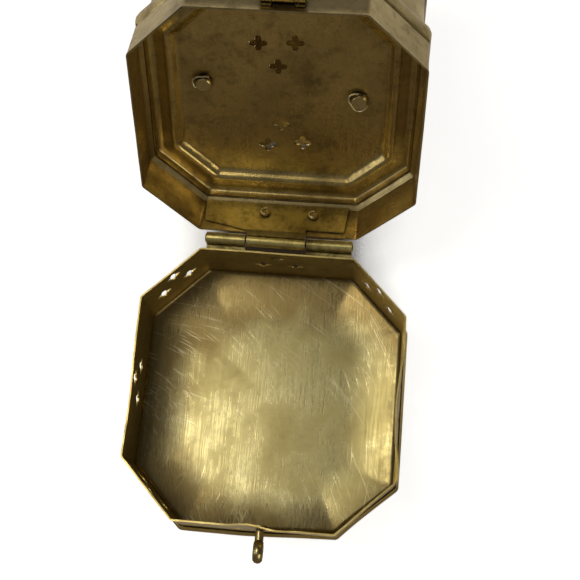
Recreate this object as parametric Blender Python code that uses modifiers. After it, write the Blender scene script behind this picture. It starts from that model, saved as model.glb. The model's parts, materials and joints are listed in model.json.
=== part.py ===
"""Octagonal brass tabernacle box: a shallow base tray and a tall hinged lid, shown open.

Everything is modelled with the box shut, in metres, +Z up, the origin at the centre of the
underside, +Y towards the hinge. The lid's pieces hang on an empty on the hinge axis, which
then turns the lid open until its far edge rests on the table.
"""
import math

import bmesh
import bpy
from mathutils import Matrix, Vector

# Sheet metal
SHEET = 0.0008
GAP = 0.0003
CORNER_STEPS = 3

# Base tray
BASE_HALF_X = 0.0650
BASE_HALF_Y = 0.0660
BASE_CUT = 0.0270
BASE_CORNER_RADIUS = 0.0030
RIM = 0.0424
FOOT_REACH = 0.0022
FOOT_HEIGHT = 0.0044

# Lid
LID_HALF_X = 0.0649
LID_HALF_Y = 0.0655
LID_CUT = 0.0263
LID_RIM_GAP = 0.0004
LID_HEIGHT = 0.1056
DRUM_INSET = 0.0024
DRUM_CORNER_RADIUS = 0.0120
OPEN_ANGLE = math.radians(117.7)

# Stepped ceiling inside the lid
CEILING_DEPTH = 0.0271
CEILING_SHEET = 0.0008

# Hinge
HINGE_Y = 0.0712
HINGE_Z = RIM + 0.0005
HINGE_LEFT = -0.0352
HINGE_RIGHT = 0.0365
CENTRE_LEFT = -0.0155
CENTRE_RIGHT = 0.0136
KNUCKLE_SPLIT = 0.0007
KNUCKLE_RADIUS = 0.0030
BORE_RADIUS = 0.0017
PIN_RADIUS = 0.0013
TAB_BOTTOM = RIM + 0.0008
LEAF_TOP = RIM + 0.0194
BASE_LEAF_DROP = 0.0105
LID_RIVET_PLACES = ((-0.0072, RIM + 0.0123), (0.0165, RIM + 0.0121))
RIVET_RADIUS = 0.0013

# Hasp and staple
LOCK_X = 0.0030
HASP_Y = -(LID_HALF_Y + 0.0034)
HASP_Z = RIM + 0.0060
HASP_RADIUS = 0.0024
HASP_BORE = 0.0013
HASP_PIN_RADIUS = 0.0010
HASP_CENTRE_HALF = 0.0045
HASP_MOUNT_HALF = 0.0092
HASP_PADDLE_HALF = 0.0076
HASP_LENGTH = 0.0300
SLOT_NEAR = 0.0124
SLOT_FAR = 0.0260
SLOT_HALF_WIDTH = 0.0033
STAPLE_Z = RIM - 0.0120
STAPLE_RING_CENTRE = BASE_HALF_Y + 0.0096
STAPLE_RING_RADIUS = 0.0037
STAPLE_BAR_RADIUS = 0.0019
STAPLE_SHANK_RADIUS = 0.0016

# Posts that tie the ceiling to the lid's top and carry the handle
POST_PLACES = ((-0.0365, -0.0058), (0.0358, -0.0006))
POST_RADIUS = 0.0016
POST_HOLE_RADIUS = 0.0020
EYE_RADIUS = 0.0036
EYE_HOLE_RADIUS = 0.0020
EYE_Z = RIM + LID_HEIGHT + 0.0058
HANDLE_BAR_RADIUS = 0.0016
HANDLE_RISE = 0.0330
HANDLE_OVERHANG = 0.0070
HANDLE_REST_ANGLE = OPEN_ANGLE - math.radians(90)

# Pierced crosses, in groups of three
CROSS_REACH = 0.0043
CROSS_ARM_HALF = 0.0015
TRIO = ((0.0, 0.0065), (-0.0082, -0.0065), (0.0082, -0.0065))
BASE_TRIO_Z = RIM - 0.0140
LID_TRIO_Z = RIM + 0.0680
CEILING_CROSSES = (
    (-0.0107, -0.0290), (0.0060, -0.0300), (-0.0018, -0.0165),
    (-0.0006, 0.0176), (-0.0072, 0.0312), (0.0095, 0.0287),
)

CHAMFER_SHRINK = 2 - math.sqrt(2)


def clear_scene():
    for old in list(bpy.data.objects):
        bpy.data.objects.remove(old)


def new_collection(name):
    collection = bpy.data.collections.new(name)
    bpy.context.scene.collection.children.link(collection)
    return collection


def brass(name, colour, roughness):
    material = bpy.data.materials.new(name)
    material.use_nodes = True
    shader = material.node_tree.nodes["Principled BSDF"]
    shader.inputs["Base Color"].default_value = (*colour, 1.0)
    shader.inputs["Roughness"].default_value = roughness
    shader.inputs["Metallic"].default_value = 1.0
    material.diffuse_color = (*colour, 1.0)
    return material


def place(obj, collection):
    for owner in list(obj.users_collection):
        owner.objects.unlink(obj)
    collection.objects.link(obj)
    return obj


def add_part(name, mesh, colour=(0.55, 0.43, 0.17), roughness=0.35):
    """Puts a mesh in the parts collection as a named part with its own material."""
    obj = bpy.data.objects.new(name, mesh)
    mesh.materials.clear()
    mesh.materials.append(brass(name + "_brass", colour, roughness))
    PARTS.objects.link(obj)
    return obj


def add_cutter(name, mesh):
    obj = bpy.data.objects.new(name, mesh)
    obj.hide_render = True
    obj.display_type = "WIRE"
    CUTTERS.objects.link(obj)
    return obj


def mesh_from(bm, name):
    mesh = bpy.data.meshes.new(name)
    bmesh.ops.recalc_face_normals(bm, faces=bm.faces)
    bm.to_mesh(mesh)
    bm.free()
    return mesh


def smooth(obj, angle=35):
    obj.data.shade_smooth()
    obj.data.set_sharp_from_angle(angle=math.radians(angle))
    return obj


def combine(target, other, operation):
    modifier = target.modifiers.new(operation.title() + " " + other.name, "BOOLEAN")
    modifier.operation = operation
    modifier.solver = "EXACT"
    modifier.object = other
    return target


def cut(target, *cutters):
    for cutter in cutters:
        combine(target, cutter, "DIFFERENCE")


def join(target, *others):
    for other in others:
        combine(target, other, "UNION")


def octagon(half_x, half_y, cut_leg):
    """Corners of a rectangle with its corners cut off, anticlockwise from the right wall's front end."""
    side_x = half_x - cut_leg
    side_y = half_y - cut_leg
    quarter = [(half_x, -side_y), (half_x, side_y), (side_x, half_y), (-side_x, half_y)]
    corners = quarter + [(-x, -y) for x, y in quarter]
    return [Vector(corner) for corner in corners]


def grown(half_x, half_y, cut_leg, outward):
    """The same octagon with every wall moved outward by one distance."""
    return octagon(half_x + outward, half_y + outward, cut_leg + outward * CHAMFER_SHRINK)


def rounded(corners, radius, steps=CORNER_STEPS):
    """The outline with an arc of this radius at every corner."""
    outline = []
    for index, corner in enumerate(corners):
        back = (corners[index - 1] - corner).normalized()
        ahead = (corners[(index + 1) % len(corners)] - corner).normalized()
        half_turn = (math.pi - back.angle(ahead)) / 2
        centre = corner + (back + ahead).normalized() * radius / math.cos(half_turn)
        spoke = corner + back * radius * math.tan(half_turn) - centre
        for step in range(steps + 1):
            turn = Matrix.Rotation(2 * half_turn * step / steps, 2)
            outline.append(centre + turn @ spoke)
    return outline


def base_outline(outward, radius=BASE_CORNER_RADIUS):
    return rounded(grown(BASE_HALF_X, BASE_HALF_Y, BASE_CUT, outward), radius)


def lid_outline(outward, radius):
    return rounded(grown(LID_HALF_X, LID_HALF_Y, LID_CUT, outward), radius)


def loft(name, sections, closed_end=False):
    """An open surface through (outline, height) sections, or closed by a flat face at the last."""
    bm = bmesh.new()
    rings = [[bm.verts.new((p.x, p.y, z)) for p in outline] for outline, z in sections]
    for low, high in zip(rings, rings[1:]):
        for i in range(len(low)):
            j = (i + 1) % len(low)
            bm.faces.new((low[i], low[j], high[j], high[i]))
    if closed_end:
        bm.faces.new(rings[-1])
    mesh = bpy.data.meshes.new(name)
    bm.to_mesh(mesh)
    bm.free()
    return mesh


def thicken(obj, thickness, side):
    """Solidify: side -1 adds the thickness behind the surface, 1 in front of it."""
    modifier = obj.modifiers.new("Sheet", "SOLIDIFY")
    modifier.thickness = thickness
    modifier.offset = side
    modifier.use_even_offset = True
    return obj


def plate_mesh(name, outline, thickness, matrix):
    """A flat outline drawn as a filled curve, extruded, and turned into a mesh in its place."""
    curve = bpy.data.curves.new(name, "CURVE")
    curve.dimensions = "2D"
    curve.fill_mode = "BOTH"
    curve.extrude = thickness / 2
    spline = curve.splines.new("POLY")
    spline.points.add(len(outline) - 1)
    for point, corner in zip(spline.points, outline):
        point.co = (corner[0], corner[1], 0, 1)
    spline.use_cyclic_u = True
    return curve_to_mesh(name, curve, matrix)


def curve_to_mesh(name, curve, matrix=Matrix()):
    drawn = bpy.data.objects.new(name, curve)
    bpy.context.scene.collection.objects.link(drawn)
    drawn.matrix_world = matrix
    bpy.context.view_layer.update()
    evaluated = drawn.evaluated_get(bpy.context.evaluated_depsgraph_get())
    mesh = bpy.data.meshes.new_from_object(evaluated)
    bm = bmesh.new()
    bm.from_mesh(mesh)
    bmesh.ops.remove_doubles(bm, verts=bm.verts, dist=0.00002)
    bm.to_mesh(mesh)
    bm.free()
    mesh.transform(matrix)
    bpy.data.objects.remove(drawn)
    return mesh


def upright(x, y, z):
    """Places a plate drawn in X and Y so that its drawn Y runs up and its thickness along Y."""
    return Matrix.Translation((x, y, z)) @ Matrix.Rotation(math.radians(90), 4, "X")


def box_mesh(name, low, high):
    low, high = Vector(low), Vector(high)
    bm = bmesh.new()
    bmesh.ops.create_cube(bm, size=1)
    bmesh.ops.scale(bm, vec=high - low, verts=bm.verts)
    bmesh.ops.translate(bm, vec=(low + high) / 2, verts=bm.verts)
    return mesh_from(bm, name)


def rod_mesh(name, start, end, radius, sides=20):
    """A cylinder from start to end."""
    start, end = Vector(start), Vector(end)
    along = end - start
    turn = Vector((0, 0, 1)).rotation_difference(along).to_matrix().to_4x4()
    bm = bmesh.new()
    bmesh.ops.create_cone(
        bm, cap_ends=True, segments=sides, radius1=radius, radius2=radius,
        depth=along.length, matrix=Matrix.Translation((start + end) / 2) @ turn,
    )
    return mesh_from(bm, name)


def turned(name, profile, origin, axis=(0, 0, 1), steps=20, **finish):
    """A turned solid: the profile's (radius, height) points run down its outer side."""
    bm = bmesh.new()
    points = [bm.verts.new((radius, 0, height)) for radius, height in profile]
    for upper, lower in zip(points, points[1:]):
        bm.edges.new((upper, lower))
    mesh = bpy.data.meshes.new(name)
    bm.to_mesh(mesh)
    bm.free()
    obj = add_part(name, mesh, **finish)
    obj.location = origin
    obj.rotation_mode = "QUATERNION"
    obj.rotation_quaternion = Vector((0, 0, 1)).rotation_difference(Vector(axis))
    screw = obj.modifiers.new("Turned", "SCREW")
    screw.steps = steps
    screw.render_steps = steps
    screw.use_merge_vertices = True
    screw.merge_threshold = 0.00001
    screw.use_smooth_shade = True
    return obj


def cross_outline():
    """A cross with four round-ended arms."""
    arm_centre = CROSS_REACH - CROSS_ARM_HALF
    outline = []
    for arm in range(4):
        facing = math.radians(90 * arm)
        along = Vector((math.cos(facing), math.sin(facing)))
        across = Vector((-along.y, along.x))
        for step in range(4):
            turn = math.radians(-90 + 60 * step)
            reach = arm_centre + CROSS_ARM_HALF * math.cos(turn)
            outline.append(along * reach + across * CROSS_ARM_HALF * math.sin(turn))
        outline.append((along + across) * CROSS_ARM_HALF)
    return outline


def cross_cutter(name, matrices, depth=0.006):
    """One cutter with a cross-shaped prism through each of the places given."""
    bm = bmesh.new()
    for matrix in matrices:
        far = [bm.verts.new(matrix @ Vector((p.x, p.y, -depth / 2))) for p in cross_outline()]
        near = [bm.verts.new(matrix @ Vector((p.x, p.y, depth / 2))) for p in cross_outline()]
        bm.faces.new(far)
        bm.faces.new(near)
        for i in range(len(far)):
            j = (i + 1) % len(far)
            bm.faces.new((far[i], far[j], near[j], near[i]))
    return add_cutter(name, mesh_from(bm, name))


def wall_places(corners, height, pattern):
    """A matrix for each mark of the pattern on one wall, its Z axis along the wall's normal."""
    start, end = corners
    along = (end - start).normalized()
    centre = (start + end) / 2
    across = Vector((along.x, along.y, 0))
    turn = Matrix((across, (0, 0, 1), (along.y, -along.x, 0))).transposed().to_4x4()
    places = []
    for side, rise in pattern:
        spot = Vector((centre.x, centre.y, height + rise)) + across * side
        places.append(Matrix.Translation(spot) @ turn)
    return places


def all_wall_places(corners, height, pattern_for_wall):
    places = []
    for index in range(8):
        wall = (corners[index], corners[(index + 1) % 8])
        places += wall_places(wall, height, pattern_for_wall(index))
    return places


def base_pattern(wall):
    """Three crosses on every wall but the front one, where the staple takes the upper one's place."""
    front_wall = 6
    return TRIO[1:] if wall == front_wall else TRIO


def make_base():
    floor = plate_mesh(
        "base_floor", base_outline(FOOT_REACH), SHEET, Matrix.Translation((0, 0, SHEET / 2)))
    add_part("base_floor", floor, (0.50, 0.42, 0.19), 0.34)

    bottom = SHEET + GAP
    wall = add_part("base_wall", loft("base_wall", [(base_outline(0), bottom), (base_outline(0), RIM)]))
    thicken(wall, SHEET, -1)
    corners = octagon(BASE_HALF_X, BASE_HALF_Y, BASE_CUT)
    crosses = cross_cutter("base_crosses", all_wall_places(corners, BASE_TRIO_Z, base_pattern))
    staple_hole = add_cutter("staple_hole", rod_mesh(
        "staple_hole", (LOCK_X, -BASE_HALF_Y - 0.004, STAPLE_Z),
        (LOCK_X, -BASE_HALF_Y + 0.004, STAPLE_Z), STAPLE_SHANK_RADIUS + GAP))
    cut(wall, crosses, staple_hole)

    strip = SHEET * 0.7
    foot_sections = [
        (base_outline(FOOT_REACH), bottom),
        (base_outline(FOOT_REACH), bottom + FOOT_HEIGHT * 0.40),
        (base_outline(FOOT_REACH * 0.85), bottom + FOOT_HEIGHT * 0.70),
        (base_outline(strip + GAP), bottom + FOOT_HEIGHT),
    ]
    foot = add_part("foot_moulding", loft("foot_moulding", foot_sections), (0.58, 0.46, 0.20), 0.32)
    thicken(foot, strip, -1)


def make_staple():
    """Staple eye: a thick ring standing out on a shank that is riveted over inside the front wall."""
    centre = Vector((LOCK_X, -STAPLE_RING_CENTRE, STAPLE_Z))
    bpy.ops.mesh.primitive_torus_add(
        major_radius=STAPLE_RING_RADIUS, minor_radius=STAPLE_BAR_RADIUS,
        major_segments=24, minor_segments=10, location=centre, rotation=(0, math.radians(90), 0))
    ring = bpy.context.object
    ring.name = "staple_eye"
    ring.data.transform(Matrix.Diagonal((1, 1, 1.25, 1)))
    ring.data.materials.append(brass("staple_eye_brass", (0.60, 0.50, 0.24), 0.40))
    place(ring, PARTS)
    shank_out = -(STAPLE_RING_CENTRE - STAPLE_RING_RADIUS)
    inner_face = -(BASE_HALF_Y - SHEET - GAP)
    shank = add_cutter("staple_shank", rod_mesh(
        "staple_shank", (LOCK_X, shank_out, STAPLE_Z), (LOCK_X, inner_face + 0.0006, STAPLE_Z),
        STAPLE_SHANK_RADIUS))
    collar = add_cutter("staple_collar", rod_mesh(
        "staple_collar", (LOCK_X, shank_out, STAPLE_Z), (LOCK_X, -(BASE_HALF_Y + GAP), STAPLE_Z),
        STAPLE_BAR_RADIUS * 1.1))
    burr = add_cutter("staple_burr", rod_mesh(
        "staple_burr", (LOCK_X, inner_face, STAPLE_Z), (LOCK_X, inner_face + 0.0011, STAPLE_Z),
        STAPLE_SHANK_RADIUS * 2))
    join(ring, shank, collar, burr)


def knuckle(name, span, radius=KNUCKLE_RADIUS, y=HINGE_Y, z=HINGE_Z):
    return add_cutter(name, rod_mesh(name, (span[0], y, z), (span[1], y, z), radius, 24))


def make_base_leaf():
    """The hinge leaf soldered to the outside of the back wall, with a knuckle at each end."""
    left = (HINGE_LEFT, CENTRE_LEFT - KNUCKLE_SPLIT)
    right = (CENTRE_RIGHT + KNUCKLE_SPLIT, HINGE_RIGHT)
    top = HINGE_Z - KNUCKLE_RADIUS + SHEET
    low_top = RIM - 0.0034
    bottom = RIM - BASE_LEAF_DROP
    nip = 0.0030
    outline = [
        (left[0] + nip, bottom), (right[1] - nip, bottom), (right[1], bottom + nip),
        (right[1], top), (right[0], top), (right[0], low_top),
        (left[1], low_top), (left[1], top), (left[0], top), (left[0], bottom + nip),
    ]
    middle_y = BASE_HALF_Y + GAP + SHEET / 2
    leaf = add_part("base_hinge_leaf", plate_mesh(
        "base_hinge_leaf", outline, SHEET, upright(0, middle_y, 0)), (0.56, 0.44, 0.18), 0.38)
    for side, span in (("left", left), ("right", right)):
        bridge = add_cutter(side + "_knuckle_bridge", box_mesh(
            side + "_knuckle_bridge", (span[0], BASE_HALF_Y + GAP + 0.0001, top - SHEET),
            (span[1], HINGE_Y, top)))
        join(leaf, bridge, knuckle(side + "_knuckle", span))
    bore = knuckle("base_leaf_bore", (HINGE_LEFT - 0.01, HINGE_RIGHT + 0.01), BORE_RADIUS)
    cut(leaf, bore)


def make_hinge_pin():
    """The pin, its two ends peened over just outside the outer knuckles."""
    half = (HINGE_RIGHT - HINGE_LEFT) / 2 + GAP
    peen = 0.0005
    head = 0.0021
    profile = [
        (0, half + peen), (head * 0.6, half + peen), (head, half + peen * 0.4), (head, half),
        (PIN_RADIUS, half), (PIN_RADIUS, -half), (head, -half), (head, -half - peen * 0.4),
        (head * 0.6, -half - peen), (0, -half - peen),
    ]
    middle = ((HINGE_LEFT + HINGE_RIGHT) / 2, HINGE_Y, HINGE_Z)
    turned("hinge_pin", profile, middle, axis=(1, 0, 0), colour=(0.45, 0.34, 0.14), roughness=0.4)


def lid_sections():
    """Skirt, V groove, half-round moulding, tall wall and the rolled top edge, from the rim up."""
    skirt_radius = 0.0030
    wall = -DRUM_INSET
    top = LID_HEIGHT
    steps = [
        (0.0002, LID_RIM_GAP, skirt_radius),
        (0.0, 0.0020, skirt_radius),
        (0.0, 0.0196, skirt_radius),
        (-0.0015, 0.0211, skirt_radius),
        (0.0001, 0.0223, skirt_radius),
        (0.0007, 0.0246, skirt_radius),
        (0.0009, 0.0272, skirt_radius),
        (0.0004, 0.0300, skirt_radius * 1.4),
        (-0.0008, 0.0320, skirt_radius * 2),
        (wall, 0.0332, DRUM_CORNER_RADIUS),
        (wall, top - 0.0112, DRUM_CORNER_RADIUS),
        (wall + 0.0016, top - 0.0098, DRUM_CORNER_RADIUS * 0.8),
        (wall + 0.0026, top - 0.0072, DRUM_CORNER_RADIUS * 0.7),
        (wall + 0.0028, top - 0.0044, DRUM_CORNER_RADIUS * 0.7),
        (wall + 0.0022, top - 0.0016, DRUM_CORNER_RADIUS * 0.7),
        (wall + 0.0010, top, DRUM_CORNER_RADIUS * 0.8),
    ]
    return [(lid_outline(outward, radius), RIM + height) for outward, height, radius in steps]


def make_lid_shell():
    shell = add_part("lid_shell", loft("lid_shell", lid_sections()), (0.52, 0.41, 0.17), 0.36)
    thicken(shell, SHEET, -1)
    wall = grown(LID_HALF_X, LID_HALF_Y, LID_CUT, -DRUM_INSET)
    crosses = cross_cutter("lid_crosses", all_wall_places(wall, LID_TRIO_Z, lambda index: TRIO))
    clear = 0.0004
    notch = add_cutter("rim_notch", box_mesh(
        "rim_notch", (CENTRE_LEFT - clear, LID_HALF_Y - 0.004, RIM - 0.002),
        (CENTRE_RIGHT + clear, LID_HALF_Y + 0.004, TAB_BOTTOM + SHEET + GAP)))
    cut(shell, crosses, notch, *lid_rivet_holes("shell"))
    return shell


def lid_rivet_holes(owner):
    holes = []
    for index, (x, z) in enumerate(LID_RIVET_PLACES):
        name = owner + "_rivet_hole_" + str(index + 1)
        holes.append(add_cutter(name, rod_mesh(
            name, (x, LID_HALF_Y - 0.006, z), (x, LID_HALF_Y + 0.004, z), RIVET_RADIUS + GAP)))
    return holes


def make_lid_leaf():
    """The leaf riveted inside the lid; its tab crosses the rim to the centre knuckle."""
    left, right = CENTRE_LEFT, CENTRE_RIGHT
    outline = [
        (left, TAB_BOTTOM), (right, TAB_BOTTOM), (right, RIM + 0.0032),
        (right + 0.0186, RIM + 0.0030), (right + 0.0200, LEAF_TOP),
        (-0.0372, LEAF_TOP), (-0.0364, RIM + 0.0059),
    ]
    middle_y = LID_HALF_Y - SHEET * 1.5 - GAP
    leaf = add_part("lid_hinge_leaf", plate_mesh(
        "lid_hinge_leaf", outline, SHEET, upright(0, middle_y, 0)), (0.50, 0.40, 0.15), 0.40)
    tab = add_cutter("leaf_tab", box_mesh(
        "leaf_tab", (left, middle_y - SHEET * 0.4, TAB_BOTTOM + 0.00002),
        (right, HINGE_Y - BORE_RADIUS - 0.0002, TAB_BOTTOM + SHEET)))
    join(leaf, tab, knuckle("centre_knuckle", (left + 0.00005, right - 0.00005)))
    cut(leaf, knuckle("lid_leaf_bore", (left - 0.01, right + 0.01), BORE_RADIUS),
        *lid_rivet_holes("leaf"))
    rivets = [make_rivet("lid_hinge_rivet_" + str(i + 1), x, z) for i, (x, z) in enumerate(LID_RIVET_PLACES)]
    return [leaf] + rivets


def make_rivet(name, x, z):
    """A flat-headed rivet through the lid's wall and the leaf, its head on the inside."""
    grip = SHEET * 2 + GAP * 3
    profile = [
        (0, 0.0014), (0.0018, 0.0014), (0.0022, 0.0010), (0.0022, 0), (RIVET_RADIUS, 0),
        (RIVET_RADIUS, -grip), (0.0022, -grip), (0.0019, -grip - 0.0004),
        (0.0011, -grip - 0.0007), (0, -grip - 0.0008),
    ]
    head_face = LID_HALF_Y - SHEET * 2 - GAP * 2
    return turned(name, profile, (x, head_face, z), axis=(0, -1, 0), steps=16,
                  colour=(0.60, 0.50, 0.25), roughness=0.32)


def make_ceiling():
    """The stepped pan that closes the lid's lower room: two rounded steps and a flat plate."""
    depth = CEILING_DEPTH
    steps = [
        (0.0616, 0.0221), (0.0616, 0.0234), (0.0610, 0.0247), (0.0598, 0.0255), (0.0584, 0.0256),
        (0.0540, 0.0246), (0.0528, 0.0239), (0.0516, 0.0239), (0.0505, 0.0246),
        (0.0494, 0.0259), (0.0484, depth - 0.0002), (0.0470, depth),
    ]
    corner_radius = 0.0035
    sections = [(lid_outline(half - LID_HALF_X, corner_radius), RIM + z) for half, z in steps]
    ceiling = add_part("ceiling_pan", loft("ceiling_pan", sections, closed_end=True), (0.42, 0.33, 0.13), 0.42)
    thicken(ceiling, CEILING_SHEET, 1)
    plate_z = RIM + CEILING_DEPTH
    crosses = cross_cutter("ceiling_crosses", [Matrix.Translation((x, y, plate_z)) for x, y in CEILING_CROSSES])
    holes = [post_hole("ceiling_post_hole_" + str(i), place_xy, plate_z) for i, place_xy in enumerate(POST_PLACES)]
    cut(ceiling, crosses, *holes)
    return ceiling


def post_hole(name, place_xy, z):
    x, y = place_xy
    return add_cutter(name, rod_mesh(name, (x, y, z - 0.004), (x, y, z + 0.004), POST_HOLE_RADIUS))


def make_lid_top():
    thickness = SHEET
    middle_z = RIM + LID_HEIGHT - 0.0010 - thickness / 2
    outline = lid_outline(-DRUM_INSET + 0.0010 - SHEET - GAP * 2, DRUM_CORNER_RADIUS * 0.8)
    top = add_part("lid_top", plate_mesh(
        "lid_top", outline, thickness, Matrix.Translation((0, 0, middle_z))), (0.54, 0.43, 0.18), 0.34)
    cut(top, *[post_hole("top_post_hole_" + str(i), place_xy, middle_z) for i, place_xy in enumerate(POST_PLACES)])
    return top


def make_posts():
    """Each post: an eye and collar above the top, a long shank, and a riveted end under the ceiling."""
    made = []
    axis = handle_axis()
    ceiling_z = RIM + CEILING_DEPTH
    top_face = RIM + LID_HEIGHT - 0.0010
    for side, (x, y) in zip(("left", "right"), POST_PLACES):
        ball = [
            (EYE_RADIUS * math.sin(math.radians(a)), EYE_Z + EYE_RADIUS * math.cos(math.radians(a)))
            for a in (0, 25, 50, 75, 100, 125, 145)
        ]
        shank = [
            (0.0022, top_face + GAP + 0.0014), (0.0042, top_face + GAP + 0.0011),
            (0.0042, top_face + GAP), (POST_RADIUS, top_face + GAP),
            (POST_RADIUS, ceiling_z - 0.0020), (0.0026, ceiling_z - 0.0022),
            (0.0026, ceiling_z - 0.0034), (0.0023, ceiling_z - 0.0037), (0, ceiling_z - 0.0037),
        ]
        post = turned(side + "_post", ball + shank, (x, y, 0), colour=(0.60, 0.50, 0.26), roughness=0.3)
        centre = Vector((x, y, EYE_Z))
        hole = add_cutter(side + "_eye_hole", rod_mesh(
            side + "_eye_hole", centre - axis * 0.006, centre + axis * 0.006, EYE_HOLE_RADIUS))
        cut(post, hole)
        washer_profile = [
            (POST_HOLE_RADIUS, 0.00045), (0.0033, 0.00045), (0.0036, 0), (0.0033, -0.00045),
            (POST_HOLE_RADIUS, -0.00045), (POST_HOLE_RADIUS, 0.00045),
        ]
        washer = turned(side + "_post_washer", washer_profile, (x, y, ceiling_z - GAP - 0.00045),
                        colour=(0.58, 0.47, 0.2), roughness=0.35)
        made += [post, washer]
    return made


def handle_axis():
    left, right = (Vector((x, y, 0)) for x, y in POST_PLACES)
    return (right - left).normalized()


def make_handle(pivot):
    """A swinging bail whose turned-in ends run through the eyes of the two posts."""
    left, right = (Vector((x, y, EYE_Z)) for x, y in POST_PLACES)
    half_span = (right - left).length / 2
    leg = half_span + HANDLE_OVERHANG
    bend = 0.0030
    points = [(-half_span + 0.0050, 0), (-leg + bend, 0)]
    for step in range(1, 5):
        turn = math.radians(22.5 * step)
        points.append((-leg + bend - bend * math.sin(turn), bend - bend * math.cos(turn)))
    arch_base = bend + 0.003
    for step in range(17):
        turn = math.radians(180 - 180 * step / 16)
        points.append((leg * math.cos(turn), arch_base + HANDLE_RISE * math.sin(turn)))
    points += [(-u, v) for u, v in reversed(points[:6])]
    curve = bpy.data.curves.new("handle", "CURVE")
    curve.dimensions = "3D"
    curve.bevel_depth = HANDLE_BAR_RADIUS
    curve.bevel_resolution = 2
    curve.use_fill_caps = True
    spline = curve.splines.new("POLY")
    spline.points.add(len(points) - 1)
    for point, (u, v) in zip(spline.points, points):
        point.co = (u, v, 0, 1)
    handle = add_part("handle", curve_to_mesh("handle", curve), (0.60, 0.48, 0.22), 0.28)

    turn_to_axis = Matrix.Rotation(math.atan2(handle_axis().y, handle_axis().x), 4, "Z")
    handle.matrix_world = turn_to_axis @ Matrix.Rotation(HANDLE_REST_ANGLE, 4, "X")
    handle.parent = pivot
    return handle


def make_hasp_mount():
    """The fixed half of the hasp, soldered to the lid's front wall, with a knuckle at each side."""
    left = (LOCK_X - HASP_MOUNT_HALF, LOCK_X - HASP_CENTRE_HALF - 0.0003)
    right = (LOCK_X + HASP_CENTRE_HALF + 0.0003, LOCK_X + HASP_MOUNT_HALF)
    middle_y = -(LID_HALF_Y + GAP + SHEET / 2)
    bottom = HASP_Z - HASP_RADIUS
    window_top = HASP_Z + HASP_RADIUS + 0.0005
    top = RIM + 0.0186
    outline = [
        (left[0], bottom), (left[1], bottom), (left[1], window_top), (right[0], window_top),
        (right[0], bottom), (right[1], bottom), (right[1], top - 0.002),
        (right[1] - 0.002, top), (left[0] + 0.002, top), (left[0], top - 0.002),
    ]
    mount = add_part("hasp_mount", plate_mesh(
        "hasp_mount", outline, SHEET, upright(0, middle_y, 0)), (0.55, 0.44, 0.2), 0.38)
    join(mount, *[
        knuckle("hasp_" + side + "_knuckle", span, HASP_RADIUS, HASP_Y, HASP_Z)
        for side, span in (("left", left), ("right", right))
    ])
    cut(mount, knuckle("hasp_mount_bore", (left[0] - 0.01, right[1] + 0.01), HASP_BORE, HASP_Y, HASP_Z))
    return mount


def make_hasp_pin():
    half = HASP_MOUNT_HALF + 0.0010
    head = 0.0017
    profile = [
        (0, half), (head, half - 0.0002), (head, half - 0.0007), (HASP_PIN_RADIUS, half - 0.0007),
        (HASP_PIN_RADIUS, -half + 0.0007), (head, -half + 0.0007), (head, -half + 0.0002), (0, -half),
    ]
    return turned("hasp_pin", profile, (LOCK_X, HASP_Y, HASP_Z), axis=(1, 0, 0), steps=14,
                  colour=(0.45, 0.34, 0.14), roughness=0.4)


def make_hasp_strap(pivot):
    """The moving half: a knuckle, a paddle with a long slot for the staple, and a lifted tip.

    It is drawn folded up against the lid's front wall, as it lies when the lid is open.
    """
    wide_from = HASP_RADIUS + 0.0008
    shoulder = 0.0034
    round_centre = HASP_LENGTH - HASP_PADDLE_HALF
    outline = [(-HASP_CENTRE_HALF, 0), (HASP_CENTRE_HALF, 0), (HASP_CENTRE_HALF, wide_from),
               (HASP_PADDLE_HALF, wide_from + shoulder)]
    for step in range(9):
        turn = math.radians(180 * step / 8)
        outline.append((HASP_PADDLE_HALF * math.cos(turn), round_centre + HASP_PADDLE_HALF * math.sin(turn)))
    outline += [(-HASP_PADDLE_HALF, wide_from + shoulder), (-HASP_CENTRE_HALF, wide_from)]
    middle_y = -(LID_HALF_Y + GAP * 2 + SHEET * 1.5) - HASP_Y
    strap = add_part("hasp_strap", plate_mesh(
        "hasp_strap", outline, SHEET, upright(0, middle_y, 0)), (0.58, 0.46, 0.2), 0.34)
    strap.parent = pivot

    slot_round = [
        (SLOT_HALF_WIDTH * math.cos(math.radians(turn)), SLOT_HALF_WIDTH * math.sin(math.radians(turn)))
        for turn in range(0, 181, 30)
    ]
    slot_outline = [(x, SLOT_FAR - SLOT_HALF_WIDTH + y) for x, y in slot_round]
    slot_outline += [(-x, SLOT_NEAR + SLOT_HALF_WIDTH - y) for x, y in slot_round]
    slot = add_cutter("hasp_slot", plate_mesh(
        "hasp_slot", slot_outline, SHEET * 4, upright(0, middle_y, 0)))
    span = (-HASP_CENTRE_HALF + 0.00005, HASP_CENTRE_HALF - 0.00005)
    centre = knuckle("hasp_centre_knuckle", span, HASP_RADIUS, 0, 0)
    lip = add_cutter("hasp_lip", rod_mesh(
        "hasp_lip", (-0.0030, middle_y - 0.0006, HASP_LENGTH - 0.0012),
        (0.0030, middle_y - 0.0006, HASP_LENGTH - 0.0012), 0.0012, 12))
    bore = knuckle("hasp_strap_bore", (-0.01, 0.01), HASP_BORE, 0, 0)
    for tool in (slot, centre, lip, bore):
        tool.parent = pivot
    join(strap, centre, lip)
    cut(strap, slot, bore)
    return strap


def new_pivot(name, location, parent=None):
    pivot = bpy.data.objects.new(name, None)
    pivot.location = location
    CUTTERS.objects.link(pivot)
    if parent:
        hang(pivot, parent)
    return pivot


def hang(obj, pivot):
    """Parents an object drawn in the shut position to a pivot, leaving it where it is."""
    obj.parent = pivot
    obj.matrix_parent_inverse = Matrix.Translation(pivot.location).inverted()


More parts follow.
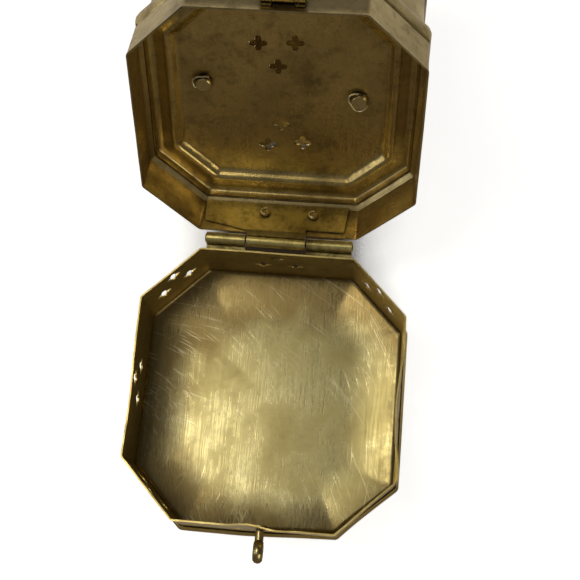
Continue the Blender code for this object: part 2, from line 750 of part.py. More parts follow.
def make_lid():
    """The lid's fixed pieces and cutters, all hung on the hinge axis and turned open."""
    already_there = set(bpy.data.objects)
    make_lid_shell()
    make_lid_leaf()
    make_ceiling()
    make_lid_top()
    make_posts()
    make_hasp_mount()
    make_hasp_pin()
    lid_pivot = new_pivot("lid_pivot", (0, HINGE_Y, HINGE_Z))
    for obj in set(bpy.data.objects) - already_there - {lid_pivot}:
        hang(obj, lid_pivot)

    hasp_pivot = new_pivot("hasp_pivot", (LOCK_X, HASP_Y, HASP_Z), lid_pivot)
    make_hasp_strap(hasp_pivot)
    left, right = (Vector((x, y, EYE_Z)) for x, y in POST_PLACES)
    handle_pivot = new_pivot("handle_pivot", (left + right) / 2, lid_pivot)
    make_handle(handle_pivot)
    lid_pivot.rotation_euler = (-OPEN_ANGLE, 0, 0)


clear_scene()
PARTS = new_collection("tabernacle_box")
CUTTERS = new_collection("cutters")
make_base()
make_staple()
make_base_leaf()
make_hinge_pin()
make_lid()
for modelled in list(PARTS.objects) + list(CUTTERS.objects):
    if modelled.type == "MESH":
        smooth(modelled)
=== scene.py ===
"""Looks of the octagonal brass tabernacle box: hand-worked sheet, aged brass, floor, light, camera.

All lengths are in metres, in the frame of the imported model. Sheet pieces are refined copies of the
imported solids: cut finer, pushed a little out of true by hand-made dents, and given worn edges.
"""
import json
import math

import bmesh
import bpy
from mathutils import Matrix, Vector, noise


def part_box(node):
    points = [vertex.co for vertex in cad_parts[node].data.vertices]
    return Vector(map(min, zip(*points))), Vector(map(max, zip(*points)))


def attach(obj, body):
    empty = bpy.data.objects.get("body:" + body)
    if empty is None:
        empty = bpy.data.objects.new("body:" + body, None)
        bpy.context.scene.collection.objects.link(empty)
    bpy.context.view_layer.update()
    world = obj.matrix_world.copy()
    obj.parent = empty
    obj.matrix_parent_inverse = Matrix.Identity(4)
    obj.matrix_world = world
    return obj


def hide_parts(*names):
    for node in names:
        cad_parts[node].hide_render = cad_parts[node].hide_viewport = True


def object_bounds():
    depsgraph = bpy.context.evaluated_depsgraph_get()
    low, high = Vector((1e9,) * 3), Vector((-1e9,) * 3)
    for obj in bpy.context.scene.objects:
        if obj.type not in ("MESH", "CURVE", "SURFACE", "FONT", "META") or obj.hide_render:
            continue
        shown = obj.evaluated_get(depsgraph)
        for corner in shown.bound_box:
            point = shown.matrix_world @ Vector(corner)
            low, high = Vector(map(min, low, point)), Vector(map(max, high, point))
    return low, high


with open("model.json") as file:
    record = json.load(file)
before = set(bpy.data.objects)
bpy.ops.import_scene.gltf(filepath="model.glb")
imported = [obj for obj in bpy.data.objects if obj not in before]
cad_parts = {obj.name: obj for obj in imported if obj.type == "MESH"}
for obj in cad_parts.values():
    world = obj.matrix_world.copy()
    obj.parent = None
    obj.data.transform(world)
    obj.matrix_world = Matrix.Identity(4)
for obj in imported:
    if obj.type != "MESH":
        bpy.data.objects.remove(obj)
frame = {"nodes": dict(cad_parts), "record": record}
CAD_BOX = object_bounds()

SHEET = 0.0008
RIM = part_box("base_wall")[1][2]
WALL_INNER_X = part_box("base_wall")[1][0] - SHEET
WALL_INNER_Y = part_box("base_wall")[1][1] - SHEET
# |x| + |y| on the inner face of the tray's cut corners
CORNER_SUM = 0.1028
FLOOR_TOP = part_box("base_floor")[1][2]

# The lid's hinge, and the turn from the lid's shut position to the open one it rests in
LID_HINGE = next(
    joint for joint in frame["record"]["behaviour"]["joints"] if joint["name"] == "lid_hinge")
HINGE_AT = Vector(LID_HINGE["pos_m"])
OPEN_ANGLE = math.radians(LID_HINGE["range_deg"][1])
OPENED = (Matrix.Translation(HINGE_AT) @ Matrix.Rotation(-OPEN_ANGLE, 4, "X")
          @ Matrix.Translation(-HINGE_AT))

# Camera, worked out from the octagons of the two rims
CAMERA_AT = Vector((0.0457, -0.0906, 0.6005))
CAMERA_LOOK = Vector((-0.103, 0.286, -0.953))
CAMERA_UP = Vector((-0.068, 0.954, 0.293))
CAMERA_LENS = 73.4
CAMERA_SHIFT = (0.070, -0.104)

# Hand-made irregularity
WOBBLE = 0.00022
WOBBLE_SCALE = 26.0
FINE_WOBBLE = 0.35
FINE_WOBBLE_SCALE = 3.1
LONGEST_EDGE = 0.0045
EDGE_WEAR = 0.00016

# Without a seed, noise_vector starts from the clock and bends the sheets differently each run
noise.seed_set(7)

# Reading a packed surface: corners closer than this are one, and facets within this angle are one
WELD = 0.000004
ONE_PLANE = math.radians(0.6)

# Edges sharper than the first angle are worn round, and sharper than the second are shaded as edges
WORN_FROM = math.radians(38)
CREASED_FROM = math.radians(50)


# ---------------------------------------------------------------- small helpers

def new_object(name, mesh):
    obj = bpy.data.objects.new(name, mesh)
    bpy.context.scene.collection.objects.link(obj)
    return obj


def node_mesh(node):
    """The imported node's surface as a fresh bmesh, with its doubled corners welded."""
    source = frame["nodes"][node]
    bm = bmesh.new()
    bm.from_mesh(source.data)
    bm.transform(source.matrix_world)
    bmesh.ops.remove_doubles(bm, verts=bm.verts, dist=WELD)
    bmesh.ops.dissolve_limit(bm, angle_limit=ONE_PLANE, verts=bm.verts, edges=bm.edges)
    return bm


def cut_finer(bm, box_frame):
    """Slices the mesh across the box's own three axes, no further apart than the longest edge."""
    bm.transform(box_frame.inverted())
    for axis in range(3):
        across = Vector([float(axis == i) for i in range(3)])
        places = [vert.co[axis] for vert in bm.verts]
        low, high = min(places), max(places)
        count = int((high - low) / LONGEST_EDGE) + 1
        for step in range(1, count):
            bmesh.ops.bisect_plane(
                bm, geom=bm.verts[:] + bm.edges[:] + bm.faces[:], dist=0.000002,
                plane_co=across * (low + (high - low) * step / count), plane_no=across)
    bm.transform(box_frame)


def smoothstep(low, high, value):
    t = min(max((value - low) / (high - low), 0.0), 1.0)
    return t * t * (3 - 2 * t)


def bump_at(point, centre, reach):
    """1 at the centre of a dent, falling smoothly to 0 at its reach along each axis."""
    distance = math.sqrt(sum(((p - c) / r) ** 2 for p, c, r in zip(point, centre, reach)))
    return 1 - smoothstep(0.0, 1.0, distance)


# Dents in the tray: (centre, reach along each axis, push)
TRAY_DENTS = (
    ((0.047, -0.066, 0.0), (0.062, 0.040, 0.034), (0, 0.0024, 0)),
    ((0.065, -0.006, RIM), (0.030, 0.036, 0.030), (-0.0019, 0, -0.0004)),
    ((0.065, -0.034, RIM), (0.030, 0.014, 0.020), (0.0009, 0, 0)),
    ((0.065, 0.022, RIM), (0.030, 0.013, 0.020), (0.0006, 0, 0)),
    ((-0.002, -0.066, RIM), (0.012, 0.020, 0.022), (0, 0.0012, -0.0006)),
    ((0.012, -0.066, RIM), (0.010, 0.020, 0.020), (0, -0.0006, 0)),
    ((-0.065, -0.012, RIM), (0.030, 0.030, 0.030), (0.0006, 0, 0)),
)


def hand_made(point):
    """Where a point of a true sheet really lies after years of use."""
    drift = noise.noise_vector(point * WOBBLE_SCALE) * WOBBLE
    elsewhere = Vector((4.0, 1.0, 7.0))
    drift += noise.noise_vector(point * WOBBLE_SCALE * FINE_WOBBLE_SCALE + elsewhere) * WOBBLE * FINE_WOBBLE
    return point + drift


def hand_made_tray(point):
    moved = hand_made(point)
    for centre, reach, push in TRAY_DENTS:
        moved += Vector(push) * bump_at(point, centre, reach)
    return moved


def refine(node, body, shape, wear):
    """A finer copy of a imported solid, out of true by hand unless its shape is None, with worn edges."""
    bm = node_mesh(node)
    cut_finer(bm, Matrix() if body == "base" else OPENED)
    if shape:
        for vert in bm.verts:
            vert.co = shape(vert.co.copy())
    sharp = [edge for edge in bm.edges if edge.is_manifold and edge.calc_face_angle(0) > WORN_FROM]
    if sharp:
        bmesh.ops.bevel(
            bm, geom=sharp, offset=wear, offset_type="OFFSET", segments=2, profile=0.6,
            affect="EDGES", clamp_overlap=True)
    mesh = bpy.data.meshes.new("worn_" + node)
    bm.to_mesh(mesh)
    bm.free()
    mesh.shade_smooth()
    mesh.set_sharp_from_angle(angle=CREASED_FROM)
    piece = new_object("worn_" + node, mesh)
    weighted = piece.modifiers.new("Flat sheet stays flat", "WEIGHTED_NORMAL")
    weighted.keep_sharp = True
    weighted.mode = "FACE_AREA_WITH_ANGLE"
    weighted.weight = 90
    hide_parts(node)
    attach(piece, body)
    return piece


# ---------------------------------------------------------------- materials

class Tree:
    """A few short names for building the node tree of a material or of the world."""

    def __init__(self, node_tree, coordinates="Object"):
        self.nodes = node_tree.nodes
        self.links = node_tree.links
        self.place = self.nodes.new("ShaderNodeTexCoord").outputs[coordinates]

    def add(self, kind, **settings):
        node = self.nodes.new(kind)
        for key, value in settings.items():
            setattr(node, key, value)
        return node

    def feed(self, socket, value):
        if isinstance(value, (int, float)):
            socket.default_value = value
        elif isinstance(value, tuple):
            socket.default_value = (*value, 1.0)
        else:
            self.links.new(value, socket)

    def split(self):
        """The three coordinates of the place being coloured."""
        node = self.add("ShaderNodeSeparateXYZ")
        self.links.new(self.place, node.inputs[0])
        return [node.outputs[axis] for axis in "XYZ"]

    def hidden(self, samples, reach):
        """Ambient occlusion: 1 in the open, falling where other metal is within reach."""
        node = self.add("ShaderNodeAmbientOcclusion", samples=samples)
        node.inputs["Distance"].default_value = reach
        return node.outputs["AO"]

    def mapped(self, scale=(1, 1, 1), shift=(0, 0, 0)):
        node = self.add("ShaderNodeMapping")
        self.links.new(self.place, node.inputs["Vector"])
        node.inputs["Scale"].default_value = scale
        node.inputs["Location"].default_value = shift
        return node.outputs["Vector"]

    def turn_shut(self):
        """From here on, places are read as if the lid were shut."""
        node = self.add("ShaderNodeVectorRotate", rotation_type="X_AXIS")
        self.links.new(self.place, node.inputs["Vector"])
        node.inputs["Angle"].default_value = OPEN_ANGLE
        self.place = node.outputs["Vector"]

    def stretched(self, turn, length):
        """Coordinates drawn out along one direction of the sheet, for straight scratches."""
        node = self.add("ShaderNodeMapping", vector_type="TEXTURE")
        self.links.new(self.place, node.inputs["Vector"])
        node.inputs["Rotation"].default_value = (0.2, 0.1, turn)
        node.inputs["Scale"].default_value = (1.0, length, length)
        return node.outputs["Vector"]

    def arc_lines(self, centre):
        """Thin broken arcs about a point beside the tray, as a polishing hand leaves them."""
        along_x, along_y, _ = self.split()
        x = self.maths("SUBTRACT", along_x, centre[0])
        y = self.maths("SUBTRACT", along_y, centre[1])
        radius = self.maths("POWER", self.squares(x, y), 0.5)
        drift = self.maths("MULTIPLY", self.noise(14, 0), 0.004)
        along = self.add("ShaderNodeCombineXYZ")
        self.links.new(self.maths("ADD", radius, drift), along.inputs["X"])
        self.links.new(self.maths("MULTIPLY", self.maths("ARCTAN2", y, x), 0.003), along.inputs["Y"])
        lines = self.noise(1100, 1, 0.5, vector=along.outputs[0])
        elsewhere = self.mapped(shift=(centre[0] * 40, 3, 1))
        patch = self.span(self.noise(26, 2, 0.5, vector=elsewhere), 0.44, 0.60)
        return self.maths("MULTIPLY", self.span(lines, 0.62, 0.70), patch)

    def painted_shade_outside(self, patch):
        """0 inside an oval patch left at full brightness, 1 well outside it where painted shade darkens the
        floor, with a cloudy border.
        """
        along_x, along_y, _ = self.split()
        (middle_x, middle_y), (reach_x, reach_y) = patch
        x = self.maths("DIVIDE", self.maths("SUBTRACT", along_x, middle_x), reach_x)
        y = self.maths("DIVIDE", self.maths("SUBTRACT", along_y, middle_y), reach_y)
        far = self.squares(x, y)
        cloud = self.span(self.noise(60, 4, 0.6), 0.3, 0.7, -0.15, 0.15)
        return self.span(self.maths("ADD", far, cloud), 0.35, 1.15, 0.0, 0.88)

    def noise(self, scale, detail=4.0, roughness=0.6, distortion=0.0, vector=None):
        node = self.add("ShaderNodeTexNoise")
        self.links.new(vector or self.place, node.inputs["Vector"])
        node.inputs["Scale"].default_value = scale
        node.inputs["Detail"].default_value = detail
        node.inputs["Roughness"].default_value = roughness
        node.inputs["Distortion"].default_value = distortion
        return node.outputs["Fac"]

    def span(self, value, low, high, to_low=0.0, to_high=1.0):
        node = self.add("ShaderNodeMapRange", interpolation_type="SMOOTHSTEP")
        self.feed(node.inputs["Value"], value)
        node.inputs["From Min"].default_value = low
        node.inputs["From Max"].default_value = high
        node.inputs["To Min"].default_value = to_low
        node.inputs["To Max"].default_value = to_high
        return node.outputs["Result"]

    def maths(self, operation, a, b=0.0):
        node = self.add("ShaderNodeMath", operation=operation)
        self.feed(node.inputs[0], a)
        self.feed(node.inputs[1], b)
        return node.outputs[0]

    def squares(self, x, y):
        return self.maths("ADD", self.maths("MULTIPLY", x, x), self.maths("MULTIPLY", y, y))

    def mix(self, factor, a, b):
        node = self.add("ShaderNodeMix", data_type="RGBA")
        self.feed(node.inputs["Factor"], factor)
        self.feed(node.inputs["A"], a)
        self.feed(node.inputs["B"], b)
        return node.outputs["Result"]

    def bump(self, height, strength, distance, normal=None):
        node = self.add("ShaderNodeBump")
        node.inputs["Strength"].default_value = strength
        node.inputs["Distance"].default_value = distance
        self.feed(node.inputs["Height"], height)
        if normal:
            self.links.new(normal, node.inputs["Normal"])
        return node.outputs["Normal"]


BROWN = (0.14, 0.085, 0.035)
DEEP = (0.055, 0.035, 0.016)
PAINTED_EDGE_SHADE = (0.20, 0.135, 0.050)
RUBBED_BRIGHT = (1.0, 0.92, 0.62)

# How near two sheets are where painted shade darkens the joints and gaps between them
JOINT_AND_GAP_SHADE_REACH = 0.0014

# Straight scratches: turn in the sheet, and how far they are drawn out
SCRATCHES = ((0.35, 30.0), (2.2, 18.0), (2.9, 45.0))

# Long arcs left by polishing: the point they swing about, and their strength
ARCS = (((-0.075, -0.030), 1.0), ((-0.060, -0.085), 0.7))


def new_material(name):
    material = bpy.data.materials.new(name)
    material.use_nodes = True
    return material


def aged_brass(name, bright, tarnish, dark, polish, patina, corners, scratches,
               brushed=(1.0, 0.05, 1.0), on_lid=False, arcs=False, patina_and_shade_reach=0.008,
               dents=1.0, joint_and_gap_shade_amount=0.85, unshaded_patch=None):
    """Worn sheet brass: clouds of tarnish, brown mottling and specks, corners darkened by patina and
    painted shade, painted shade along joints and gaps, painted shade outside a given patch, fine scratches.
    """
    material = new_material(name)
    tree = Tree(material.node_tree)
    shader = tree.nodes["Principled BSDF"]
    if on_lid:
        tree.turn_shut()
    clouds = tree.noise(30, 5, 0.62, 0.2)
    blotches = tree.noise(140, 6, 0.72, 0.2)
    grains = tree.noise(520, 4, 0.72)
    specks = tree.noise(1100, 3, 0.7)
    # Corners and hollows darken: partly the patina the old brass holds there, partly painted shade.
    corner = tree.span(tree.hidden(6, patina_and_shade_reach), 0.90, 0.35, 0.0, corners)
    ragged = tree.span(tree.noise(300, 5, 0.75), 0.32, 0.60, 0.30, 1.0)
    corner = tree.maths("MULTIPLY", corner, ragged)

    colour = tree.mix(tree.span(clouds, 0.36, 0.66), bright, tarnish)
    colour = tree.mix(tree.span(grains, 0.42, 0.70, 0.0, 0.35 + 0.3 * patina), colour, tarnish)
    colour = tree.mix(tree.span(blotches, 0.46, 0.80, 0.0, patina), colour, dark)
    stains = tree.noise(21, 6, 0.74, 0.3)
    colour = tree.mix(tree.span(stains, 0.50, 0.68, 0.0, 0.9 * patina), colour, dark)
    colour = tree.mix(tree.span(specks, 0.64, 0.72, 0.0, min(1.0, patina * 1.3)), colour, dark)
    colour = tree.mix(corner, colour, dark)
    # Painted shade: a dark line wherever another sheet lies within reach, at joints and in gaps where shade
    # falls.
    joint_and_gap_shade = tree.span(tree.hidden(6, JOINT_AND_GAP_SHADE_REACH), 0.92, 0.55, 0.0, joint_and_gap_shade_amount)
    colour = tree.mix(joint_and_gap_shade, colour, DEEP)
    # Painted shade: outside an oval patch the floor darkens towards a brown, standing for the darker
    # reflections near the walls.
    if unshaded_patch:
        colour = tree.mix(tree.painted_shade_outside(unshaded_patch), colour, PAINTED_EDGE_SHADE)

    rough = tree.span(clouds, 0.3, 0.7, polish - 0.04, polish + 0.06)
    rough = tree.maths("ADD", rough, tree.span(blotches, 0.45, 0.75, 0.0, 0.18 * patina + 0.03))
    rough = tree.maths("ADD", rough, tree.maths("MULTIPLY", corner, 0.22))

    brush = tree.noise(1400, 3, 0.6, vector=tree.mapped(brushed))
    colour = tree.mix(tree.span(brush, 0.35, 0.70, 0.0, 0.22 * scratches), colour, tarnish)
    rough = tree.maths("ADD", rough, tree.span(brush, 0.35, 0.65, -0.03, 0.05))
    normal = tree.bump(brush, 0.20 * scratches, 0.0001)
    for turn, length in SCRATCHES:
        lines = tree.noise(1000, 1, 0.5, vector=tree.stretched(turn, length))
        elsewhere = tree.mapped(shift=(turn, length, 0))
        patch = tree.span(tree.noise(45, 2, 0.5, vector=elsewhere), 0.48, 0.62)
        scratch = tree.maths("MULTIPLY", tree.span(lines, 0.70, 0.74), patch)
        colour = tree.mix(tree.maths("MULTIPLY", scratch, 0.35 * scratches), colour, bright)
        normal = tree.bump(scratch, 0.40 * scratches, -0.00004, normal)
    if arcs:
        for centre, strength in ARCS:
            swipe = tree.arc_lines(centre)
            colour = tree.mix(tree.maths("MULTIPLY", swipe, 0.38 * strength), colour, RUBBED_BRIGHT)
            normal = tree.bump(swipe, 0.30 * strength, -0.00005, normal)
    normal = tree.bump(tree.noise(42, 2, 0.5), 0.10 * dents, 0.0009, normal)
    normal = tree.bump(blotches, 0.10 * dents, 0.0003, normal)
    tree.feed(shader.inputs["Base Color"], colour)
    tree.feed(shader.inputs["Roughness"], rough)
    tree.feed(shader.inputs["Normal"], normal)
    shader.inputs["Metallic"].default_value = 1.0
    return material


def make_materials():
    upright = (0.05, 0.05, 1.0)
    return {
        "floor": aged_brass(
            "tray_floor_brass", (0.62, 0.54, 0.27), (0.46, 0.385, 0.165), BROWN,
            polish=0.27, patina=0.22, corners=0.9, scratches=1.0, brushed=(1.0, 0.03, 1.0),
            arcs=True, patina_and_shade_reach=0.018, dents=0.10, unshaded_patch=((0.018, -0.008), (0.074, 0.056))),
        "wall": aged_brass(
            "tray_wall_brass", (0.95, 0.75, 0.31), (0.74, 0.58, 0.22), BROWN,
            polish=0.34, patina=0.40, corners=0.55, scratches=0.8, brushed=upright),
        "lid": aged_brass(
            "lid_sheet_brass", (0.70, 0.55, 0.26), (0.47, 0.365, 0.165), BROWN,
            polish=0.30, patina=0.62, corners=0.95, scratches=0.8, brushed=upright,
            on_lid=True, patina_and_shade_reach=0.016),
        "pan": aged_brass(
            "ceiling_pan_brass", (0.80, 0.61, 0.24), (0.56, 0.41, 0.155), DEEP,
            polish=0.30, patina=0.62, corners=1.0, scratches=0.7, brushed=(1.0, 0.06, 1.0), on_lid=True),
        "hinge": aged_brass(
            "hinge_brass", (0.95, 0.80, 0.34), (0.60, 0.48, 0.17), DEEP,
            polish=0.36, patina=0.85, corners=1.0, scratches=1.0, brushed=(0.05, 1.0, 1.0),
            on_lid=True, patina_and_shade_reach=0.004),
        "fitting": aged_brass(
            "fitting_brass", (0.78, 0.64, 0.32), (0.56, 0.45, 0.20), BROWN,
            polish=0.24, patina=0.5, corners=0.9, scratches=0.6),
        "wire": aged_brass(
            "wire_brass", (0.98, 0.88, 0.58), (0.85, 0.72, 0.40), BROWN,
            polish=0.34, patina=0.2, corners=0.3, scratches=0.4, joint_and_gap_shade_amount=0.2),
        "solder": aged_brass(
            "solder_brass", (0.20, 0.155, 0.07), (0.11, 0.08, 0.035), DEEP,
            polish=0.42, patina=0.8, corners=1.0, scratches=0.3, on_lid=True),
    }


def paint(piece, material):
    piece.data.materials.clear()
    piece.data.materials.append(material)


# ---------------------------------------------------------------- pieces

def mushroomed(node):
    """The free end of a post, hammered out wider than its shank."""
    low, high = (OPENED.inverted() @ Vector(corner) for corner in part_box(node))
    axis_x, axis_y = (low.x + high.x) / 2, (low.y + high.y) / 2
    tip = min(low.z, high.z)

    def spread(point):
        shut = OPENED.inverted() @ point
        widen = 1 + 0.42 * (1 - smoothstep(0.0008, 0.0020, shut.z - tip))
        shut.x = axis_x + (shut.x - axis_x) * widen
        shut.y = axis_y + (shut.y - axis_y) * widen
        return OPENED @ shut
    return spread


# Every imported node: its body, its look, how it is pushed out of true, and its slot
SHEETS = {
    "base_floor": ("base", "wall", hand_made_tray, "sheet_brass"),
    "base_wall": ("base", "wall", hand_made_tray, "sheet_brass"),
    "foot_moulding": ("base", "wall", hand_made_tray, "sheet_brass"),
    "base_hinge_leaf": ("base", "hinge", hand_made, "aged_brass"),
    "hinge_pin": ("base", "hinge", hand_made, "aged_brass"),
    "staple_eye": ("base", "fitting", hand_made, "bright_brass"),
    "lid_shell": ("lid", "lid", hand_made, "sheet_brass"),
    "ceiling_pan": ("lid", "pan", hand_made, "aged_brass"),
    "lid_top": ("lid", "lid", hand_made, "sheet_brass"),
    "lid_hinge_leaf": ("lid", "hinge", hand_made, "aged_brass"),
    "lid_hinge_rivet_1": ("lid", "fitting", hand_made, "bright_brass"),
    "lid_hinge_rivet_2": ("lid", "fitting", hand_made, "bright_brass"),
    "left_post": ("lid", "fitting", mushroomed("left_post"), "bright_brass"),
    "right_post": ("lid", "fitting", mushroomed("right_post"), "bright_brass"),
    "left_post_washer": ("lid", "fitting", hand_made, "bright_brass"),
    "right_post_washer": ("lid", "fitting", hand_made, "bright_brass"),
    "hasp_mount": ("lid", "hinge", None, "sheet_brass"),
    "hasp_pin": ("lid", "hinge", None, "aged_brass"),
    "hasp_strap": ("hasp", "fitting", None, "sheet_brass"),
    "handle": ("bail", "fitting", hand_made, "bright_brass"),
}

# Nodes whose edges are more or less rounded than the rest
EDGES = {"ceiling_pan": 0.00007, "lid_hinge_leaf": 0.0003, "staple_eye": 0.0003}


def make_pieces(materials):
    for node, (body, look, shape, slot) in SHEETS.items():
        piece = refine(node, body, shape, EDGES.get(node, EDGE_WEAR))
        paint(piece, materials[look])


def inset_radius(turn, inset):
    """Distance from the middle of the tray to its inner wall, less an inset, in one direction."""
    across, along = abs(math.cos(turn)), abs(math.sin(turn))
    reaches = [(CORNER_SUM - inset * math.sqrt(2)) / (across + along)]
    if across > 0.001:
        reaches.append((WALL_INNER_X - inset) / across)
    if along > 0.001:
        reaches.append((WALL_INNER_Y - inset) / along)
    return min(reaches)


def make_dished_floor(material):
    """The tray's sagged floor: flat in the middle, turned up to the walls, with a solder fillet."""
    turns = 288
    insets = [
        0.0, 0.0003, 0.0006, 0.001, 0.0015, 0.002, 0.0028, 0.0038, 0.005, 0.0065, 0.0082, 0.010,
        0.012, 0.014, 0.0165, 0.019, 0.0215, 0.024, 0.028, 0.034, 0.042, 0.050, 0.058]
    dish_rise, dish_reach = 0.0024, 0.026
    fillet_rise, fillet_reach = 0.0012, 0.0016
    corner_dent, corner_dent_reach, corner_dent_push = TRAY_DENTS[0]
    bm = bmesh.new()
    rings = []
    for inset in insets:
        dish = dish_rise * max(0.0, 1 - inset / dish_reach) ** 2
        fillet = fillet_rise * max(0.0, 1 - inset / fillet_reach) ** 2
        ring = []
        for step in range(turns):
            turn = 2 * math.pi * step / turns
            radius = inset_radius(turn, inset)
            flat = Vector((radius * math.cos(turn), radius * math.sin(turn), 0))
            dent = noise.noise(flat * 24 + Vector((3, 5, 1))) * 0.00006
            point = Vector((flat.x, flat.y, FLOOR_TOP + 0.0004 + dish + fillet + dent))
            point += Vector(corner_dent_push) * bump_at(point, corner_dent, corner_dent_reach)
            ring.append(bm.verts.new(point))
        rings.append(ring)
    skirt = [bm.verts.new((v.co.x, v.co.y, FLOOR_TOP + 0.00005)) for v in rings[0]]
    rings.insert(0, skirt)
    for outer, inner in zip(rings, rings[1:]):
        for i in range(turns):
            j = (i + 1) % turns
            bm.faces.new((outer[i], outer[j], inner[j], inner[i]))
    bm.faces.new(rings[-1])
    bm.faces.new(list(reversed(skirt)))
    mesh = bpy.data.meshes.new("dished_floor")
    bm.to_mesh(mesh)
    bm.free()
    mesh.shade_smooth()
    mesh.set_sharp_from_angle(angle=math.radians(60))
    floor = new_object("dished_floor", mesh)
    paint(floor, material)
    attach(floor, "base")


def make_wire(name, points, thickness, material, body, closed=False):
    """A bent wire, or a closed ring of it, through the given points."""
    curve = bpy.data.curves.new(name, "CURVE")
    curve.dimensions = "3D"
    curve.bevel_depth = thickness / 2
    curve.bevel_resolution = 3
    curve.use_fill_caps = True
    spline = curve.splines.new("BEZIER")
    spline.bezier_points.add(len(points) - 1)
    for bezier, point in zip(spline.bezier_points, points):
        bezier.co = point
        bezier.handle_left_type = "AUTO"
        bezier.handle_right_type = "AUTO"
    spline.use_cyclic_u = closed
    wire = new_object(name, curve)
    curve.materials.append(material)
    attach(wire, body)


def make_post_rings(material):
    """The split rings sprung round the riveted ends of the two posts."""
    for side, start, sweep, lift in (("left", 55, 150, 0.0012), ("right", 95, 245, 0.0014)):
        low, high = (OPENED.inverted() @ Vector(corner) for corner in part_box(side + "_post_washer"))
        middle = (low + high) / 2
        points = []
        for step in range(9):
            turn = math.radians(start + sweep * step / 8)
            spread = 0.0047 + 0.0006 * math.sin(3 * turn)
            height = middle.z - lift - 0.0012 * step / 8
            points.append(OPENED @ Vector((
                middle.x + spread * math.cos(turn), middle.y - spread * math.sin(turn), height)))
        make_wire(side + "_post_ring", points, 0.0009, material, "lid")


def make_solder_seam(material):
    """The uneven line of solder between the stepped ceiling and the wall of the lid."""
    half_x, half_y, cut = 0.0629, 0.0635, 0.0252
    above_rim = 0.0226
    corners = [(half_x, half_y - cut), (half_x - cut, half_y)]
    corners += [(-x, y) for x, y in reversed(corners)]
    corners += [(-x, -y) for x, y in corners]
    points = []
    for start, end in zip(corners, corners[1:] + corners[:1]):
        for step in range(9):
            flat = Vector(start).lerp(Vector(end), (step + 0.5) / 9).to_3d()
            flat += noise.noise_vector(flat * 150) * 0.00025
            points.append(OPENED @ Vector((flat.x, flat.y, RIM + above_rim + flat.z)))
    make_wire("ceiling_solder_seam", points, 0.0022, material, "lid", closed=True)


def make_rivet_highlight_rims(material):
    """The rims that the hammer left standing round the two leaf rivets, drawn in bright wire only on the
    lit side as a painted highlight and open on the shaded right.
    """
    radius = 0.0021
    for index in (1, 2):
        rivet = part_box("lid_hinge_rivet_" + str(index))
        low, high = (OPENED.inverted() @ Vector(corner) for corner in rivet)
        middle = (low + high) / 2
        face = middle.y - 0.0024
        points = []
        for step in range(9):
            turn = math.radians(80 + 190 * step / 8)
            points.append(OPENED @ Vector((
                middle.x + radius * math.cos(turn), face, middle.z + radius * math.sin(turn))))
        make_wire("rivet_highlight_rim_" + str(index), points, 0.0009, material, "lid")


# ---------------------------------------------------------------- floor, light and camera

def make_floor():
    """The pale studio floor, glowing evenly, with painted shadow where the box stands close to it and a
    soft painted shadow behind the tray.
    """
    mesh = bpy.data.meshes.new("studio_floor")
    bm = bmesh.new()
    bmesh.ops.create_grid(bm, x_segments=1, y_segments=1, size=3.0)
    bm.to_mesh(mesh)
    bm.free()
    floor = new_object("studio_floor", mesh)
    floor.location.z = CAD_BOX[0][2] - 0.0002
    material = new_material("pale_floor")
    tree = Tree(material.node_tree)
    shader = tree.nodes["Principled BSDF"]
    # Painted shadow: glow and base colour fall to near black close to the box and in a soft patch behind
    # the hinge line.
    glow = tree.span(tree.hidden(8, 0.12), 0.22, 0.50)
    x, y, _ = tree.split()
    hinge_line = 0.078
    aside = tree.span(tree.maths("ABSOLUTE", x), 0.028, 0.044)
    behind = tree.span(tree.maths("ABSOLUTE", tree.maths("SUBTRACT", y, hinge_line)), 0.008, 0.044)
    glow = tree.maths("MULTIPLY", glow, tree.maths("MAXIMUM", aside, behind))
    shine = tree.mix(glow, (0.02, 0.014, 0.008), (1.0, 1.0, 1.0))
    tree.feed(shader.inputs["Emission Color"], shine)
    tree.feed(shader.inputs["Base Color"], tree.mix(glow, (0.03, 0.02, 0.01), (0.92, 0.92, 0.92)))
    shader.inputs["Roughness"].default_value = 0.9
    shader.inputs["Emission Strength"].default_value = 0.85
    floor.data.materials.append(material)
    floor.visible_glossy = False
    floor.visible_diffuse = False


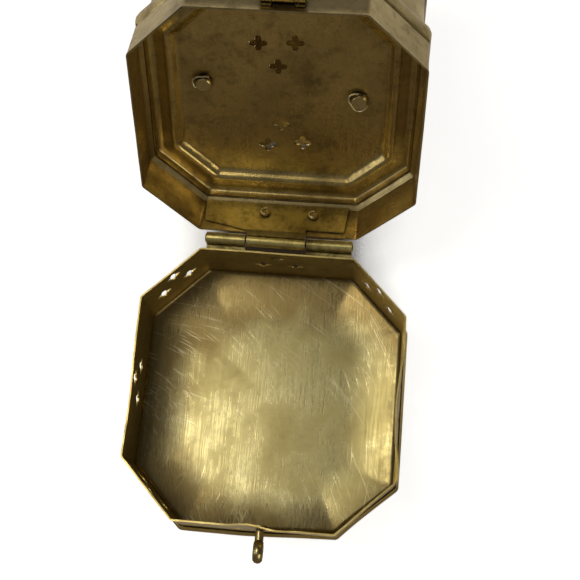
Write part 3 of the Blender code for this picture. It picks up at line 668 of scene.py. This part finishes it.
def make_world():
    """The room that the metal reflects: a dim grey ceiling, a table pale at the back, a dark front."""
    world = bpy.data.worlds.new("studio")
    bpy.context.scene.world = world
    world.use_nodes = True
    tree = Tree(world.node_tree, "Generated")
    x, y, z = tree.split()
    ceiling = tree.span(z, 0.25, 1.0, 0.09, 0.15)
    ceiling = tree.maths("MULTIPLY", ceiling, tree.span(x, 0.02, 0.45, 1.0, 0.45))
    ceiling = tree.maths("MULTIPLY", ceiling, tree.span(y, 0.12, 0.45, 1.0, 0.50))
    table = tree.maths("MAXIMUM", tree.span(y, -0.05, 0.40), tree.span(z, -0.80, -0.99, 0.0, 0.5))
    table = tree.mix(table, (0.13, 0.105, 0.075), (0.52, 0.50, 0.46))
    level = tree.mix(tree.span(z, -0.05, 0.12), table, ceiling)
    tree.links.new(level, tree.nodes["Background"].inputs["Color"])


def area_light(name, at, aim, size, power, colour=(1, 1, 1)):
    data = bpy.data.lights.new(name, "AREA")
    data.size = size
    data.energy = power
    data.color = colour
    light = bpy.data.objects.new(name, data)
    bpy.context.scene.collection.objects.link(light)
    light.location = at
    light.rotation_mode = "QUATERNION"
    light.rotation_quaternion = (Vector(aim) - Vector(at)).to_track_quat("-Z", "Y")


def make_lights():
    area_light("ceiling_lamp", (-0.36, 0.21, 1.9), (0, 0.02, 0), 0.24, 1.1, (1.0, 0.98, 0.90))
    area_light("left_lamp", (-0.72, 0.12, 1.8), (0.05, 0.0, 0), 0.44, 5.2, (1.0, 0.92, 0.70))
    area_light("window", (-1.5, -0.4, 0.9), (0, 0.05, 0.05), 0.8, 2)
    area_light("right_fill", (0.83, -1.07, 0.64), (0.04, -0.02, 0), 0.6, 2.8, (1.0, 0.92, 0.68))
    glow = bpy.data.lights.new("light_through_the_crosses", "POINT")
    glow.energy = 0.012
    glow.shadow_soft_size = 0.01
    inside = bpy.data.objects.new("light_through_the_crosses", glow)
    bpy.context.scene.collection.objects.link(inside)
    inside.location = OPENED @ Vector((0, 0.01, RIM + 0.066))


def make_camera():
    data = bpy.data.cameras.new("camera")
    data.sensor_width = 36
    data.lens = CAMERA_LENS
    data.shift_x, data.shift_y = CAMERA_SHIFT
    data.clip_start = 0.01
    camera = bpy.data.objects.new("camera", data)
    bpy.context.scene.collection.objects.link(camera)
    back = -CAMERA_LOOK.normalized()
    right = CAMERA_UP.cross(back).normalized()
    up = back.cross(right)
    camera.matrix_world = Matrix.Translation(CAMERA_AT) @ Matrix((right, up, back)).transposed().to_4x4()
    bpy.context.scene.camera = camera


make_camera()
make_floor()
make_world()
make_lights()
MATERIALS = make_materials()
make_pieces(MATERIALS)
make_dished_floor(MATERIALS["floor"])
make_post_rings(MATERIALS["wire"])
make_rivet_highlight_rims(MATERIALS["wire"])
make_solder_seam(MATERIALS["solder"])
bpy.context.scene.view_settings.view_transform = "Standard"
